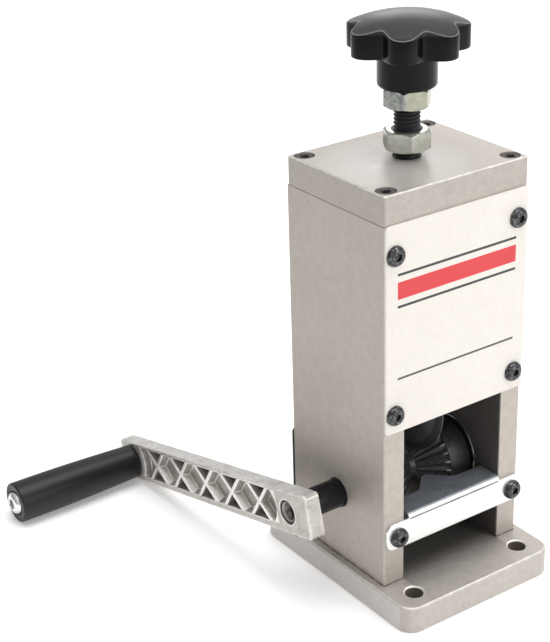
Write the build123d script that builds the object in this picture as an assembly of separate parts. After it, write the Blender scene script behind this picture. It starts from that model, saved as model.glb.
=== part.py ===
from build123d import *
import math
import os

os.makedirs("parts", exist_ok=True)

# ------------------------------------------------------------------
# Hand crank wire stripper.  Millimetres, +Z up, front of the machine
# faces -Y, +X to the right when seen from the front.
# Origin: centre of the base plate's underside.
# ------------------------------------------------------------------

# housing
BODY_W = 80.0            # width over both side plates
BODY_Y0 = -34.2          # front face of the side plates
BODY_Y1 = 34.5           # rear face of the side plates
SIDE_T = 11.6            # side plate thickness
SIDE_H = 176.5           # side plate height above the base plate
XI = BODY_W / 2 - SIDE_T # inner face of the side plates (28.4)
TOP_T = 13.6             # top plate thickness
TOP_Y1 = 33.6            # top plate stops a little short of the rear
BASE_X, BASE_Y, BASE_T = 88.0, 113.0, 13.4
BASE_R = 8.0             # base plate corner radius
BASE_HOLE_X, BASE_HOLE_Y = 63.0, 90.6   # bench screw hole spacing
BASE_HOLE_R = 4.25
Z0 = BASE_T                              # foot of the side plates
Z1 = BASE_T + SIDE_H                     # 189.9, underside of the top plate
Z2 = Z1 + TOP_T                          # 203.5, top of the housing

# shaft, roller and bearings
SHAFT_Z = 47.7           # height of the crank axis
SHAFT_R = 6.75
JOURNAL_R = 8.5
BRG_R, BRG_W = 17.5, 8.0
BRG_POCKET = 8.1
ROLL_R = 17.5            # smooth drum radius
ROLL_R0 = 7.0            # bottom of the V groove
ROLL_X0, ROLL_X1, ROLL_X2 = 1.5, 14.0, 26.2
TEETH = 24
BUSH_R = 7.3

# crank
ARM_XO, ARM_T = -69.0, 8.0               # outer face, thickness
ARM_XI = ARM_XO + ARM_T                  # inner face (-61)
ARM_L = 146.0                            # shaft to grip axis
ARM_H = 21.2
ARM_BACK, ARM_FRONT = 16.6, 11.0          # beyond the two axes
GRIP_Z = 10.6                            # grip axis height, grip lies on the bench
ARM_ANG = math.degrees(math.asin((SHAFT_Z - GRIP_Z) / ARM_L))
GRIP_LEN = 69.3
GRIP_R = 10.4

# blade carriage
BLADE_R, BLADE_T = 27.0, 2.5
BLADE_Z = 85.9
AXLE_R = 5.0
CAR_X = 28.1                             # half width, slides between the side plates
CAR_Y = 20.0                             # half depth
SLOT_X = 8.0                             # half width of the blade slot
SLOT_TOP = 114.6
CAR_TOP = 166.0
RET_T = 4.0

# adjusting screw
SCREW_R = 5.93
THREAD_HOLE_R = 6.0
PITCH = 1.75
NUT_AF, NUT_H = 19.0, 8.9
LOCK_Z = Z2 + 3.5
JAM_Z = Z2 + 22.5
KNOB_Z = Z2 + 31.5                       # underside of the knob's hub
RIM_Z = Z2 + 47.5
RIM_TOP = Z2 + 57.6
APEX_Z = Z2 + 63.6
KNOB_R, KNOB_V, LOBES = 27.0, 21.2, 7
HUB_R = 13.15

# sheet parts
PLATE_T = 1.0
PLATE_Z0, PLATE_Z1 = 92.2, 190.2
TRAY_T = 1.2
TRAY_Z = 48.0                            # upper face of the tray
TRAY_Y1 = -22.3
TONGUE_Y = -12.8
REAR_T = 1.2

M5, M5_HEAD, M5_HEAD_H = 2.5, 4.65, 2.75
FIT = 0.02                               # radial gap of screws in their holes


def cyl(r, x0, x1, axis="z", at=(0, 0)):
    """Cylinder from x0 to x1 along an axis, centred at the other two coordinates."""
    h = x1 - x0
    c = Cylinder(r, h, align=(Align.CENTER, Align.CENTER, Align.MIN))
    if axis == "z":
        return Pos(at[0], at[1], x0) * c
    if axis == "x":
        return Pos(x0, at[0], at[1]) * Rot(0, 90, 0) * c
    return Pos(at[0], x0, at[1]) * Rot(-90, 0, 0) * c


def block(x0, x1, y0, y1, z0, z1):
    return Pos((x0 + x1) / 2, (y0 + y1) / 2, (z0 + z1) / 2) * Box(x1 - x0, y1 - y0, z1 - z0)


def hexprism(af, z0, z1):
    return Pos(0, 0, z0) * extrude(RegularPolygon(af / math.sqrt(3), 6), z1 - z0)


def turned(points, arcs=None):
    """Solid of revolution about Z from (r, z) points; arcs maps an index to a mid point."""
    arcs = arcs or {}
    lines = []
    n = len(points)
    for i in range(n):
        a, b = points[i], points[(i + 1) % n]
        p, q = (a[0], 0, a[1]), (b[0], 0, b[1])
        if i in arcs:
            m = arcs[i]
            lines.append(ThreePointArc(p, (m[0], 0, m[1]), q))
        else:
            lines.append(Line(p, q))
    face = make_face(Curve() + lines)
    return revolve(face, Axis.Z, 360)


def button_screw(shank_r, head_r, head_h, length, af):
    """Button head socket screw, underside of the head at z = 0."""
    flat = head_r * 0.48
    body = turned(
        [(0, -length + 0.0), (shank_r - 0.4, -length), (shank_r, -length + 0.4), (shank_r, 0),
         (head_r, 0), (head_r, 0.35), (flat, head_h), (0, head_h)],
        {5: (head_r * 0.86, head_h * 0.66)},
    )
    return body - hexprism(af, head_h - 1.7, head_h + 1)


def cap_screw(shank_r, head_r, head_h, length, af):
    """Cylindrical head socket screw, underside of the head at z = 0."""
    body = turned(
        [(0, -length), (shank_r - 0.4, -length), (shank_r, -length + 0.4), (shank_r, 0),
         (head_r, 0), (head_r, head_h - 0.4), (head_r - 0.4, head_h), (0, head_h)]
    )
    return body - hexprism(af, head_h * 0.5, head_h + 1)


def hexnut(af, h, bore):
    r = af / math.sqrt(3)
    rc = af / 2 * 0.97
    d = (r - rc) * math.tan(math.radians(30))
    shape = turned([(0, 0), (rc, 0), (r, d), (r, h - d), (rc, h), (0, h)])
    nut = hexprism(af, 0, h) & shape
    return nut - turned([(0, -1), (bore + 1.9, -1), (bore, 0.9), (bore, h - 0.9), (bore + 1.9, h + 1), (0, h + 1)])


def sketch_yz(x, pts, arcs=None):
    """Face in a plane of constant x from (y, z) points."""
    arcs = arcs or {}
    lines = []
    n = len(pts)
    for i in range(n):
        a, b = pts[i], pts[(i + 1) % n]
        if i in arcs:
            m = arcs[i]
            lines.append(ThreePointArc((x, a[0], a[1]), (x, m[0], m[1]), (x, b[0], b[1])))
        else:
            lines.append(Line((x, a[0], a[1]), (x, b[0], b[1])))
    return make_face(Curve() + lines)


def sketch_xz(y, pts, arcs=None):
    """Face in a plane of constant y from (x, z) points."""
    arcs = arcs or {}
    lines = []
    n = len(pts)
    for i in range(n):
        a, b = pts[i], pts[(i + 1) % n]
        if i in arcs:
            m = arcs[i]
            lines.append(ThreePointArc((a[0], y, a[1]), (m[0], y, m[1]), (b[0], y, b[1])))
        else:
            lines.append(Line((a[0], y, a[1]), (b[0], y, b[1])))
    return make_face(Curve() + lines)


def rounded_xz(y0, y1, x0, x1, z0, z1, r):
    f = Plane((0, y0, 0), x_dir=(1, 0, 0), z_dir=(0, 1, 0)) * Pos((x0 + x1) / 2, -(z0 + z1) / 2) * RectangleRounded(x1 - x0, z1 - z0, r)
    return extrude(f, y1 - y0)


def edges_along(part, axis, tol=1e-3):
    return part.edges().filter_by(axis)


nodes = {}

# ------------------------------------------------------------------
# Screw positions
# ------------------------------------------------------------------
TOP_SCREWS = [(sx * 34.5, sy * 28.4) for sx in (-1, 1) for sy in (-1, 1)]
BASE_SCREWS = [(sx * 34.2, sy * 20.0) for sx in (-1, 1) for sy in (-1, 1)]
FRONT_SCREWS = [(sx * 34.5 - 0.5, z) for sx in (-1, 1) for z in (101.3, 176.6)]
TRAY_SCREWS = [(sx * 34.3 + 2.0, 37.8) for sx in (-1, 1)]
REAR_SCREWS = [(sx * 34.5, z) for sx in (-1, 1) for z in (39.0, 59.5)]

# ------------------------------------------------------------------
# Base plate
# ------------------------------------------------------------------
base = extrude(RectangleRounded(BASE_X, BASE_Y, BASE_R), BASE_T)
base = chamfer(base.edges().group_by(Axis.Z)[-1], 0.8)
base = chamfer(base.edges().group_by(Axis.Z)[0], 0.5)
for sx in (-1, 1):
    for sy in (-1, 1):
        px, py = sx * BASE_HOLE_X / 2, sy * BASE_HOLE_Y / 2
        base -= cyl(BASE_HOLE_R, -1, BASE_T + 1, at=(px, py))
        base -= Pos(px, py, 0) * turned([(0, BASE_T - 0.65), (BASE_HOLE_R, BASE_T - 0.65), (BASE_HOLE_R + 0.65, BASE_T), (BASE_HOLE_R + 0.65, BASE_T + 1), (0, BASE_T + 1)])
for px, py in BASE_SCREWS:
    base -= cyl(3.0 + 0.3, -1, BASE_T + 1, at=(px, py))
    base -= cyl(5.5, -1, 7.0, at=(px, py))
nodes["base_plate"] = base

# ------------------------------------------------------------------
# Side plates
# ------------------------------------------------------------------
for name, s in (("left", -1), ("right", 1)):
    xa, xb = sorted((s * XI, s * BODY_W / 2))
    p = block(xa, xb, BODY_Y0, BODY_Y1, Z0, Z1)
    p = chamfer(p.edges().filter_by(Axis.Z), 0.5)
    p = chamfer(p.edges().group_by(Axis.Z)[-1], 0.25)
    # bearing pocket from the inside, shaft hole through the web
    if s > 0:
        p -= cyl(BRG_R + 0.02, XI - 1, XI + BRG_POCKET, "x", (0, SHAFT_Z))
        p -= cyl(BUSH_R + 0.02, XI, BODY_W / 2 + 1, "x", (0, SHAFT_Z))
    else:
        p -= cyl(BRG_R + 0.02, -XI - BRG_POCKET, -XI + 1, "x", (0, SHAFT_Z))
        p -= cyl(BUSH_R + 0.02, -BODY_W / 2 - 1, -XI, "x", (0, SHAFT_Z))
    for px, py in TOP_SCREWS:
        if px * s > 0:
            p -= cyl(M5 + FIT, Z1 - 7, Z1 + 1, at=(px, py))
    for px, py in BASE_SCREWS:
        if px * s > 0:
            p -= cyl(3.0 + FIT, Z0 - 1, Z0 + 17, at=(px, py))
    for px, pz in FRONT_SCREWS + TRAY_SCREWS:
        if px * s > 0:
            p -= cyl(M5 + FIT, BODY_Y0 - 1, BODY_Y0 + 11, "y", (px, pz))
    for px, pz in REAR_SCREWS:
        if px * s > 0:
            p -= cyl(M5 + FIT, BODY_Y1 - 11, BODY_Y1 + 1, "y", (px, pz))
    nodes["side_plate_" + name] = p

# ------------------------------------------------------------------
# Top plate with the threaded hole for the adjusting screw
# ------------------------------------------------------------------
top = block(-BODY_W / 2, BODY_W / 2, BODY_Y0, TOP_Y1, Z1, Z2)
top = chamfer(top.edges().filter_by(Axis.Z), 0.6)
top = chamfer(top.edges().group_by(Axis.Z)[-1], 0.6)
top = chamfer(top.edges().group_by(Axis.Z)[0], 0.35)
top -= cyl(THREAD_HOLE_R, Z1 - 1, Z2 + 1)
top -= turned([(0, Z2 - 0.5), (THREAD_HOLE_R, Z2 - 0.5), (THREAD_HOLE_R + 0.6, Z2 + 0.1), (0, Z2 + 0.1)])
for px, py in TOP_SCREWS:
    top -= cyl(2.75, Z1 - 1, Z2 + 1, at=(px, py))
    top -= cyl(4.65, Z2 - 5.3, Z2 + 1, at=(px, py))
nodes["top_plate"] = top

nodes["top_plate_screws"] = Compound(children=[
    Pos(x, y, Z2 - 5.3) * cap_screw(M5, 4.25, 5.0, 14.0, 4.0) for x, y in TOP_SCREWS])
nodes["base_screws"] = Compound(children=[
    Pos(x, y, 7.0) * Rot(180, 0, 0) * cap_screw(3.0, 5.0, 6.0, 22.0, 5.0) for x, y in BASE_SCREWS])

# ------------------------------------------------------------------
# Front plate, feed tray, rear guide plate and their screws
# ------------------------------------------------------------------
fy = BODY_Y0 - PLATE_T
front = rounded_xz(fy, BODY_Y0, -BODY_W / 2, BODY_W / 2, PLATE_Z0, PLATE_Z1, 2.0)
front = chamfer(front.edges().group_by(Axis.Y)[0], 0.2)
for px, pz in FRONT_SCREWS:
    front -= cyl(2.75, fy - 1, BODY_Y0 + 1, "y", (px, pz))
nodes["front_plate"] = front
nodes["front_plate_screws"] = Compound(children=[
    Pos(x, fy, z) * Rot(90, 0, 0) * button_screw(M5, M5_HEAD, M5_HEAD_H, 9.0, 3.0) for x, z in FRONT_SCREWS])

# tray: flange with two ears, bend, flat with a tongue that reaches into the V groove
ty0, ty1 = BODY_Y0 - TRAY_T, BODY_Y0
EAR_TOP, FL_BOT = 45.6, 32.1
TRAY_DX = 0.8            # the tray sits a little to the right
FX, NX = 40.0, 27.3
BEND_R = 2.4
flange = rounded_xz(ty0, ty1, -FX, FX, FL_BOT, EAR_TOP, 4.0)
neck = block(-NX, NX, ty0, ty1, EAR_TOP - 6, TRAY_Z - BEND_R)
bend = sketch_yz(-NX, [(ty0, TRAY_Z - BEND_R), (ty0 + BEND_R, TRAY_Z), (ty0 + BEND_R, TRAY_Z - TRAY_T), (ty1, TRAY_Z - BEND_R)],
                 {0: (ty0 + BEND_R * (1 - math.sqrt(0.5)), TRAY_Z - BEND_R * (1 - math.sqrt(0.5))),
                  2: (ty0 + BEND_R - (BEND_R - TRAY_T) * math.sqrt(0.5), TRAY_Z - BEND_R + (BEND_R - TRAY_T) * math.sqrt(0.5))})
bend = extrude(bend, 2 * NX, dir=(1, 0, 0))
yb = ty0 + BEND_R
zt = TRAY_Z - TRAY_T
# outline of the flat, counter-clockwise seen from above
flat_pts = [(-NX, yb), (NX, yb), (NX, TRAY_Y1 - 1.5), (NX - 1.5, TRAY_Y1), (13.2, TRAY_Y1),
            (8.4, TRAY_Y1 + 2.0), (2.2, TONGUE_Y - 0.9), (-2.2, TONGUE_Y - 0.9), (-8.4, TRAY_Y1 + 2.0),
            (-13.2, TRAY_Y1), (-NX + 1.5, TRAY_Y1), (-NX, TRAY_Y1 - 1.5)]
flat_arcs = {2: (NX - 0.44, TRAY_Y1 - 0.44), 4: (10.6, TRAY_Y1 + 0.5), 6: (0.0, TONGUE_Y), 8: (-10.6, TRAY_Y1 + 0.5), 10: (-NX + 0.44, TRAY_Y1 - 0.44)}
lines = []
for i, a in enumerate(flat_pts):
    b = flat_pts[(i + 1) % len(flat_pts)]
    if i in flat_arcs:
        m = flat_arcs[i]
        lines.append(ThreePointArc((a[0], a[1], zt), (m[0], m[1], zt), (b[0], b[1], zt)))
    else:
        lines.append(Line((a[0], a[1], zt), (b[0], b[1], zt)))
flat = extrude(make_face(Curve() + lines), TRAY_T, dir=(0, 0, 1))
tray = Pos(TRAY_DX, 0, 0) * (flange + neck + bend + flat)
for px, pz in TRAY_SCREWS:
    tray -= cyl(2.75, ty0 - 1, ty1 + 1, "y", (px, pz))
nodes["feed_tray"] = tray
nodes["feed_tray_screws"] = Compound(children=[
    Pos(x, ty0, z) * Rot(90, 0, 0) * button_screw(M5, M5_HEAD, M5_HEAD_H, 9.0, 3.0) for x, z in TRAY_SCREWS])

rear = rounded_xz(BODY_Y1, BODY_Y1 + REAR_T, -BODY_W / 2, BODY_W / 2, 32.1, 66.4, 2.5)
rear -= rounded_xz(BODY_Y1 - 1, BODY_Y1 + REAR_T + 1, -12.0, 12.0, 54.4, 80.0, 6.0)
for px, pz in REAR_SCREWS:
    rear -= cyl(2.75, BODY_Y1 - 1, BODY_Y1 + REAR_T + 1, "y", (px, pz))
nodes["rear_guide_plate"] = rear
nodes["rear_plate_screws"] = Compound(children=[
    Pos(x, BODY_Y1 + REAR_T, z) * Rot(-90, 0, 0) * button_screw(M5, M5_HEAD, M5_HEAD_H, 9.0, 3.0) for x, z in REAR_SCREWS])

# ------------------------------------------------------------------
# Ball bearings in the side plates, thin bushes where the shaft leaves them
# ------------------------------------------------------------------
BALL_R, BALL_PITCH, BALLS = 2.38, 13.0, 10
IN_R, OUT_R = 11.6, 14.4
xm = XI + 0.05 + BRG_W / 2               # middle of the right bearing
half = BRG_W / 2
groove = Pos(0, 0, 0) * Torus(BALL_PITCH, BALL_R + 0.05)
outer = Cylinder(BRG_R, BRG_W) - Cylinder(OUT_R, BRG_W + 2) - groove
outer = chamfer(outer.edges().filter_by(GeomType.CIRCLE).filter_by(lambda e: abs(e.radius - BRG_R) < 0.01), 0.5)
inner = Cylinder(IN_R, BRG_W) - Cylinder(JOURNAL_R, BRG_W + 2) - groove
shield = Cylinder(OUT_R - 0.05, 0.5) - Cylinder(IN_R + 0.3, 2)
balls = [Pos(BALL_PITCH * math.cos(2 * math.pi * i / BALLS), BALL_PITCH * math.sin(2 * math.pi * i / BALLS), 0) * Sphere(BALL_R) for i in range(BALLS)]
outs, ins, shs, bls, bus = [], [], [], [], []
for s in (-1, 1):
    place = Pos(s * xm, 0, SHAFT_Z) * Rot(0, 90, 0)
    outs.append(place * outer)
    ins.append(place * inner)
    for e in (-1, 1):
        shs.append(place * Pos(0, 0, e * (half - 0.55)) * shield)
    bls += [place * b for b in balls]
    x0, x1 = sorted((s * (BODY_W / 2 + 0.3), s * (XI + BRG_POCKET + 0.1)))
    bus.append(cyl(BUSH_R, x0, x1, "x", (0, SHAFT_Z)) - cyl(SHAFT_R + 0.06, x0 - 1, x1 + 1, "x", (0, SHAFT_Z)))
nodes["bearing_outer_rings"] = Compound(children=outs)
nodes["bearing_inner_rings"] = Compound(children=ins)
nodes["bearing_shields"] = Compound(children=shs)
nodes["bearing_balls"] = Compound(children=bls)
nodes["shaft_bushes"] = Compound(children=bus)

# ------------------------------------------------------------------
# Drive roller turned in one piece with its shaft: V groove between two
# toothed cones, smooth drums outside, journals, crank end on the left
# ------------------------------------------------------------------


def star_face(x, r_tip, depth):
    pts = []
    for i in range(TEETH):
        a = 2 * math.pi * i / TEETH
        b = 2 * math.pi * (i + 0.5) / TEETH
        pts.append((r_tip * math.cos(a), SHAFT_Z + r_tip * math.sin(a)))
        pts.append(((r_tip - depth) * math.cos(b), SHAFT_Z + (r_tip - depth) * math.sin(b)))
    return sketch_yz(x, pts)


SPIGOT_X = -68.4
roller = cyl(ROLL_R0 - 0.3, -ROLL_X0 - 1, ROLL_X0 + 1, "x", (0, SHAFT_Z))
for s in (-1, 1):
    cone = loft([star_face(s * ROLL_X0, ROLL_R0, 0.45), star_face(s * ROLL_X1, ROLL_R, 1.5)], ruled=True)
    roller += cone
    x0, x1 = sorted((s * ROLL_X1, s * ROLL_X2))
    drum = cyl(ROLL_R, x0, x1, "x", (0, SHAFT_Z))
    drum = chamfer(drum.edges().filter_by(GeomType.CIRCLE), 0.5)
    roller += drum
    x0, x1 = sorted((s * ROLL_X2, s * (XI + 0.05)))
    roller += cyl(10.2, x0, x1, "x", (0, SHAFT_Z))
    x0, x1 = sorted((s * XI, s * (XI + 0.05 + BRG_W)))
    roller += cyl(JOURNAL_R, x0, x1, "x", (0, SHAFT_Z))
roller += cyl(SHAFT_R, ARM_XI, -XI, "x", (0, SHAFT_Z))
roller += cyl(5.95, SPIGOT_X, ARM_XI + 1, "x", (0, SHAFT_Z))
roller += cyl(SHAFT_R, XI, BODY_W / 2 + 0.4, "x", (0, SHAFT_Z))
roller -= cyl(2.1, BODY_W / 2 - 3, BODY_W / 2 + 1, "x", (0, SHAFT_Z))
roller -= cyl(1.6, SPIGOT_X - 1, SPIGOT_X + 9, "x", (0, SHAFT_Z))
roller -= Pos(SPIGOT_X, 0, SHAFT_Z) * Rot(0, 90, 0) * turned([(0, -1), (4.7, -1), (4.7, 0), (1.5, 4.4), (0, 4.4)])
nodes["drive_roller"] = roller

# ------------------------------------------------------------------
# Crank arm, drawn level along +Y and then swung down to the bench
# ------------------------------------------------------------------
SWING = Pos(0, 0, SHAFT_Z) * Rot(-ARM_ANG, 0, 0)
ARM_END = ARM_L + ARM_FRONT
arm = extrude(sketch_yz(ARM_XO, [(-ARM_BACK, -ARM_H / 2 - 0.1), (ARM_END, -ARM_H / 2 + 0.4), (ARM_END, ARM_H / 2), (-ARM_BACK, ARM_H / 2)]), ARM_T, dir=(1, 0, 0))
long_corners = arm.edges().filter_by(Axis.X)
low_end = long_corners.filter_by(lambda e: e.center().Y > 100 and e.center().Z < 0)
arm = fillet(low_end, 10.5)
others = arm.edges().filter_by(Axis.X).filter_by(lambda e: abs(e.center().Z) > 9.5 and (e.center().Y < 0 or e.center().Z > 0))
arm = fillet(others, 2.2)
arm = fillet(arm.edges().group_by(Axis.X)[0], 0.7)
arm = fillet(arm.edges().group_by(Axis.X)[-1], 0.7)
CROSS = [23.3 + 24.3 * i for i in range(5)]
NC = 0.9                 # middle height of the ribbed field
HN = 8.0                 # half height of the ribbed field
RW = 1.15                # rib half width measured along the arm
SL = 8.0                 # run of a rib from its crossing to the flange
DEEP, SHALLOW = 6.2, 3.6
for c in CROSS:
    for sg in (-1, 1):
        tri = sketch_yz(ARM_XO, [(c, NC + sg * RW), (c - SL + RW, NC + sg * HN), (c + SL - RW, NC + sg * HN)])
        arm -= extrude(tri, DEEP, dir=(1, 0, 0), taper=3)
for a, b in zip(CROSS[:-1], CROSS[1:]):
    hexa = sketch_yz(ARM_XO, [(a + RW, NC), (a + RW + SL, NC + HN), (b - RW - SL, NC + HN), (b - RW, NC), (b - RW - SL, NC - HN), (a + RW + SL, NC - HN)])
    arm -= extrude(hexa, SHALLOW, dir=(1, 0, 0), taper=22)
a = CROSS[0]
dcut = sketch_yz(ARM_XO, [(a - RW, NC), (a - RW - SL, NC + HN), (13.0, NC + HN), (13.0, NC - HN), (a - RW - SL, NC - HN)], {2: (8.6, NC)})
arm -= extrude(dcut, SHALLOW, dir=(1, 0, 0), taper=12)
b = CROSS[-1]
dcut = sketch_yz(ARM_XO, [(b + RW, NC), (b + RW + SL, NC + HN), (136.4, NC + HN), (136.4, NC - HN), (b + RW + SL, NC - HN)], {2: (133.6, NC)})
arm -= extrude(dcut, SHALLOW, dir=(1, 0, 0), taper=12)
arm -= cyl(6.0, ARM_XO - 1, ARM_XI + 1, "x", (0, 0))
arm -= cyl(3.0 + FIT, ARM_XO - 1, ARM_XI + 1, "x", (ARM_L, 0))
arm -= cyl(2.5 + FIT, -ARM_H, 0, "z", ((ARM_XO + ARM_XI) / 2 + 0.6, 0))
nodes["crank_arm"] = SWING * arm

SET_X = (ARM_XO + ARM_XI) / 2 + 0.6
setscrew = cyl(2.5, -ARM_H / 2 - 1.7, -6.05, "z") - Pos(0, 0, -ARM_H / 2 - 2.7) * extrude(RegularPolygon(1.45, 6), 3.6)
nodes["crank_set_screw"] = SWING * Pos(SET_X, 0, 0) * setscrew


# grip and the shoulder bolt it turns on
gx0, gx1 = ARM_XO - 0.4, ARM_XO - 0.4 - GRIP_LEN
HEAD_SEAT = gx1 + 2.3
pl = [Line((0, 0, 0), (8.3, 0, 0)), Line((8.3, 0, 0), (8.85, 0, 0.6)),
      Spline((8.85, 0, 0.6), (9.65, 0, 20), (10.16, 0, 40), (10.36, 0, 56), (GRIP_R, 0, GRIP_LEN - 0.9)),
      Line((GRIP_R, 0, GRIP_LEN - 0.9), (9.5, 0, GRIP_LEN)), Line((9.5, 0, GRIP_LEN), (0, 0, GRIP_LEN)), Line((0, 0, GRIP_LEN), (0, 0, 0))]
grip = revolve(make_face(Curve() + pl), Axis.Z, 360)
grip = Pos(gx0, ARM_L, 0) * Rot(0, -90, 0) * grip
grip -= cyl(4.06, gx1 - 1, gx0 + 1, "x", (ARM_L, 0))
grip -= cyl(6.4, gx1 - 1, HEAD_SEAT, "x", (ARM_L, 0))
nodes["grip"] = SWING * grip
bolt = cyl(4.0, HEAD_SEAT - 0.15, ARM_XO, "x", (ARM_L, 0)) + cyl(3.0, ARM_XO - 1, ARM_XI - 0.6, "x", (ARM_L, 0))
head = Rot(0, -90, 0) * button_screw(3.0, 6.0, 4.3, 4.0, 5.0)
bolt += Pos(HEAD_SEAT - 0.15, ARM_L, 0) * head
nodes["grip_bolt"] = SWING * bolt

# ------------------------------------------------------------------
# Blade carriage: block that slides between the side plates, forked
# below for the blade, hung on the adjusting screw above
# ------------------------------------------------------------------
car = block(-CAR_X, CAR_X, -CAR_Y, CAR_Y, 102.0, CAR_TOP)
cheek = block(-CAR_X, CAR_X, -12.0, 12.0, BLADE_Z, 104.0) + cyl(12.0, -CAR_X, CAR_X, "x", (0, BLADE_Z))
car = car + cheek
car -= block(-SLOT_X, SLOT_X, -CAR_Y - 1, CAR_Y + 1, 60.0, SLOT_TOP)
car = chamfer(car.edges().group_by(Axis.Z)[-1], 0.8)
car -= cyl(AXLE_R + FIT, -CAR_X - 1, CAR_X + 1, "x", (0, BLADE_Z))
car -= cyl(8.2, 160.0, CAR_TOP + 1)
car -= cyl(6.0, 150.0, 161.0)
RET_SCREWS = [(-16.0, 0.0), (16.0, 0.0)]
for px, py in RET_SCREWS:
    car -= cyl(2.0 + FIT, CAR_TOP - 10, CAR_TOP + 1, at=(px, py))
# hole for the set screw that holds the axle, from the front of the right cheek
car -= cyl(2.0 + FIT, -CAR_Y - 1, 0, "y", (18.0, BLADE_Z))
nodes["blade_carriage"] = car

axle = cyl(AXLE_R, -CAR_X + 0.2, CAR_X - 0.2, "x", (0, BLADE_Z))
axle = chamfer(axle.edges().filter_by(GeomType.CIRCLE), 0.6)
nodes["blade_axle"] = axle
nodes["axle_set_screw"] = (Pos(18.0, 0, BLADE_Z) * Rot(90, 0, 0) * (cyl(2.0, AXLE_R + 0.05, 11.6) - hexprism(2.0, 9.6, 12.0)))
sp = []
for s in (-1, 1):
    x0, x1 = sorted((s * (BLADE_T / 2 + 0.08), s * (SLOT_X - 0.02)))
    sp.append(cyl(8.0, x0, x1, "x", (0, BLADE_Z)) - cyl(AXLE_R + FIT, x0 - 1, x1 + 1, "x", (0, BLADE_Z)))
nodes["blade_spacers"] = Compound(children=sp)

blade = turned([(AXLE_R + 0.06, -BLADE_T / 2), (23.0, -BLADE_T / 2), (BLADE_R, -0.12), (BLADE_R, 0.12), (23.0, BLADE_T / 2), (AXLE_R + 0.06, BLADE_T / 2)])
nodes["cutting_blade"] = Pos(0, 0, BLADE_Z) * Rot(0, 90, 0) * blade

# plate that traps the screw's flange, with an open slot so that it slides in from the rear
ret = block(-22.0, 22.0, -13.0, 15.0, CAR_TOP, CAR_TOP + RET_T)
ret = chamfer(ret.edges().filter_by(Axis.Z), 1.5)
ret -= cyl(4.6, CAR_TOP - 1, CAR_TOP + RET_T + 1) + block(-4.6, 4.6, 0, 20, CAR_TOP - 1, CAR_TOP + RET_T + 1)
for px, py in RET_SCREWS:
    ret -= cyl(2.2, CAR_TOP - 1, CAR_TOP + RET_T + 1, at=(px, py))
nodes["screw_retainer_plate"] = ret
nodes["retainer_screws"] = Compound(children=[
    Pos(x, y, CAR_TOP + RET_T) * button_screw(2.0, 3.8, 2.1, 12.0, 2.5) for x, y in RET_SCREWS])

# ------------------------------------------------------------------
# Adjusting screw, knob with its insert, jam nut and lock nut
# ------------------------------------------------------------------
SCREW_TOP = KNOB_Z + 20.0
screw = cyl(7.5, 160.1, CAR_TOP - 0.1) + cyl(4.5, CAR_TOP - 0.2, CAR_TOP + RET_T + 1.6) + cyl(SCREW_R, CAR_TOP + RET_T + 1.5, SCREW_TOP)
screw = chamfer(screw.edges().group_by(Axis.Z)[-1], 0.8)
nodes["adjusting_screw"] = screw

# knob: star outline under a shallow dome, round hub below
CAM_AZ = math.atan2(-517.66, -428.19)
KNOB_PH = CAM_AZ + math.radians(-5.0)


def knob_point(t):
    c = math.cos(LOBES * t)
    r = (KNOB_R + KNOB_V) / 2 + (KNOB_R - KNOB_V) / 2 * (c - 0.12 * (math.cos(2 * LOBES * t) - 1))
    return (r * math.cos(t + KNOB_PH), r * math.sin(t + KNOB_PH), RIM_Z)


STEP_A = math.pi / LOBES
outline = []
for i in range(2 * LOBES):
    m = i * STEP_A
    outline.append(ThreePointArc(knob_point(m - STEP_A / 2), knob_point(m), knob_point(m + STEP_A / 2)))
star = make_face(Curve() + outline)
rim = extrude(star, APEX_Z - RIM_Z + 1, dir=(0, 0, 1))
DOME = APEX_Z - RIM_TOP
RD = KNOB_R + 2
ZD = APEX_Z - DOME * (RD / KNOB_R) ** 2
dome = turned([(0, RIM_Z - 1), (RD, RIM_Z - 1), (RD, ZD), (1.2, APEX_Z), (0, APEX_Z)], {2: (RD / 2, APEX_Z - (APEX_Z - ZD) / 4)})
rim = rim & dome
hub = turned([(0, KNOB_Z), (HUB_R - 1.8, KNOB_Z), (HUB_R, KNOB_Z + 1.8), (HUB_R, RIM_Z + 1), (0, RIM_Z + 1)],
             {1: (HUB_R - 0.53, KNOB_Z + 0.53)})
knob = rim + hub
knob = fillet(knob.edges().filter_by(lambda e: RIM_Z + 5 < e.center().Z < APEX_Z - 0.5), 0.7)
INS_R, INS_TOP = 8.5, SCREW_TOP + 0.6
knob -= cyl(INS_R, KNOB_Z - 1, INS_TOP)
nodes["adjusting_knob"] = knob
ins_ = cyl(INS_R, KNOB_Z, INS_TOP) - cyl(THREAD_HOLE_R, KNOB_Z - 1, SCREW_TOP + 0.1)
nodes["knob_insert"] = ins_
jam = Pos(0, 0, JAM_Z) * Rot(0, 0, math.degrees(CAM_AZ) - 8.0) * hexnut(NUT_AF, NUT_H, THREAD_HOLE_R)
nodes["jam_nut"] = jam
lock = Pos(0, 0, LOCK_Z) * Rot(0, 0, math.degrees(CAM_AZ) + 11.5) * hexnut(NUT_AF, NUT_H, THREAD_HOLE_R)
nodes["lock_nut"] = lock

# ------------------------------------------------------------------
# Write one file per node
# ------------------------------------------------------------------
for name, shape in nodes.items():
    export_step(shape, os.path.join("parts", name + ".step"))
    bb = shape.bounding_box()
    print("%-22s %2d solid(s) vol %9.1f  x %7.2f %7.2f  y %7.2f %7.2f  z %7.2f %7.2f" % (
        name, len(shape.solids()), shape.volume, bb.min.X, bb.max.X, bb.min.Y, bb.max.Y, bb.min.Z, bb.max.Z))
print("nodes", len(nodes), "arm angle", round(ARM_ANG, 3), "grip axis y", round(ARM_L * math.cos(math.radians(ARM_ANG)), 3))
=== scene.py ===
import bpy
import bmesh
import math
from mathutils import Matrix, Vector


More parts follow.
